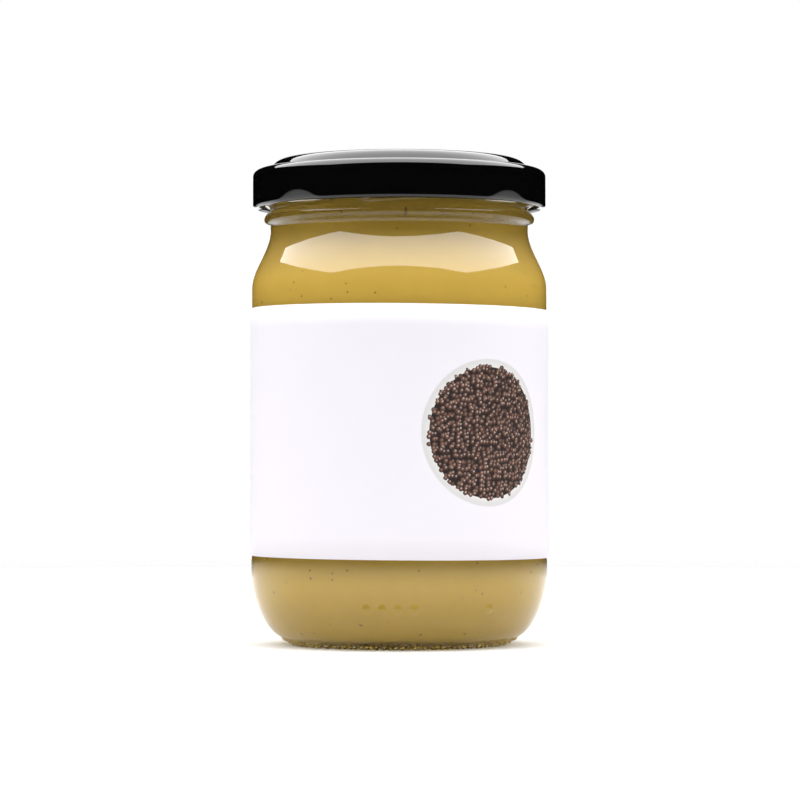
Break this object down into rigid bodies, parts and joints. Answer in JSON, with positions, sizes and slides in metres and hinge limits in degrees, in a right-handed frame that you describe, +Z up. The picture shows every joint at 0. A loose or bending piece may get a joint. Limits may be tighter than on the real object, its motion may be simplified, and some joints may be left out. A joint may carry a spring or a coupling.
{
  "type": "mustard jar",
  "caption": "Full clear glass mustard jar with a rounded heel and shoulder, a twist-off black metal lug cap and a wrap-round paper label.",
  "frame": {"origin": "centre of the foot, on the surface that the jar stands on", "axes": "+Z up along the jar's axis; the front of the label faces -Y; +X is to the right of someone facing the front"},
  "size_m": [0.0618, 0.0617, 0.1007],
  "materials": {
    "clear_glass": "clear flint glass, fire-polished, with a stippled foot",
    "mustard": "smooth ochre mustard with fine dark specks of seed, wet against the glass",
    "black_lacquer": "high-gloss black lacquer on tinplate",
    "label_paper": "coated white paper, satin, with a plain round print of brown seeds"
  },
  "bodies": {
    "root": {"glass_jar": "clear_glass", "mustard": "mustard", "cap": "black_lacquer", "label": "label_paper"}
  },
  "joints": []
}
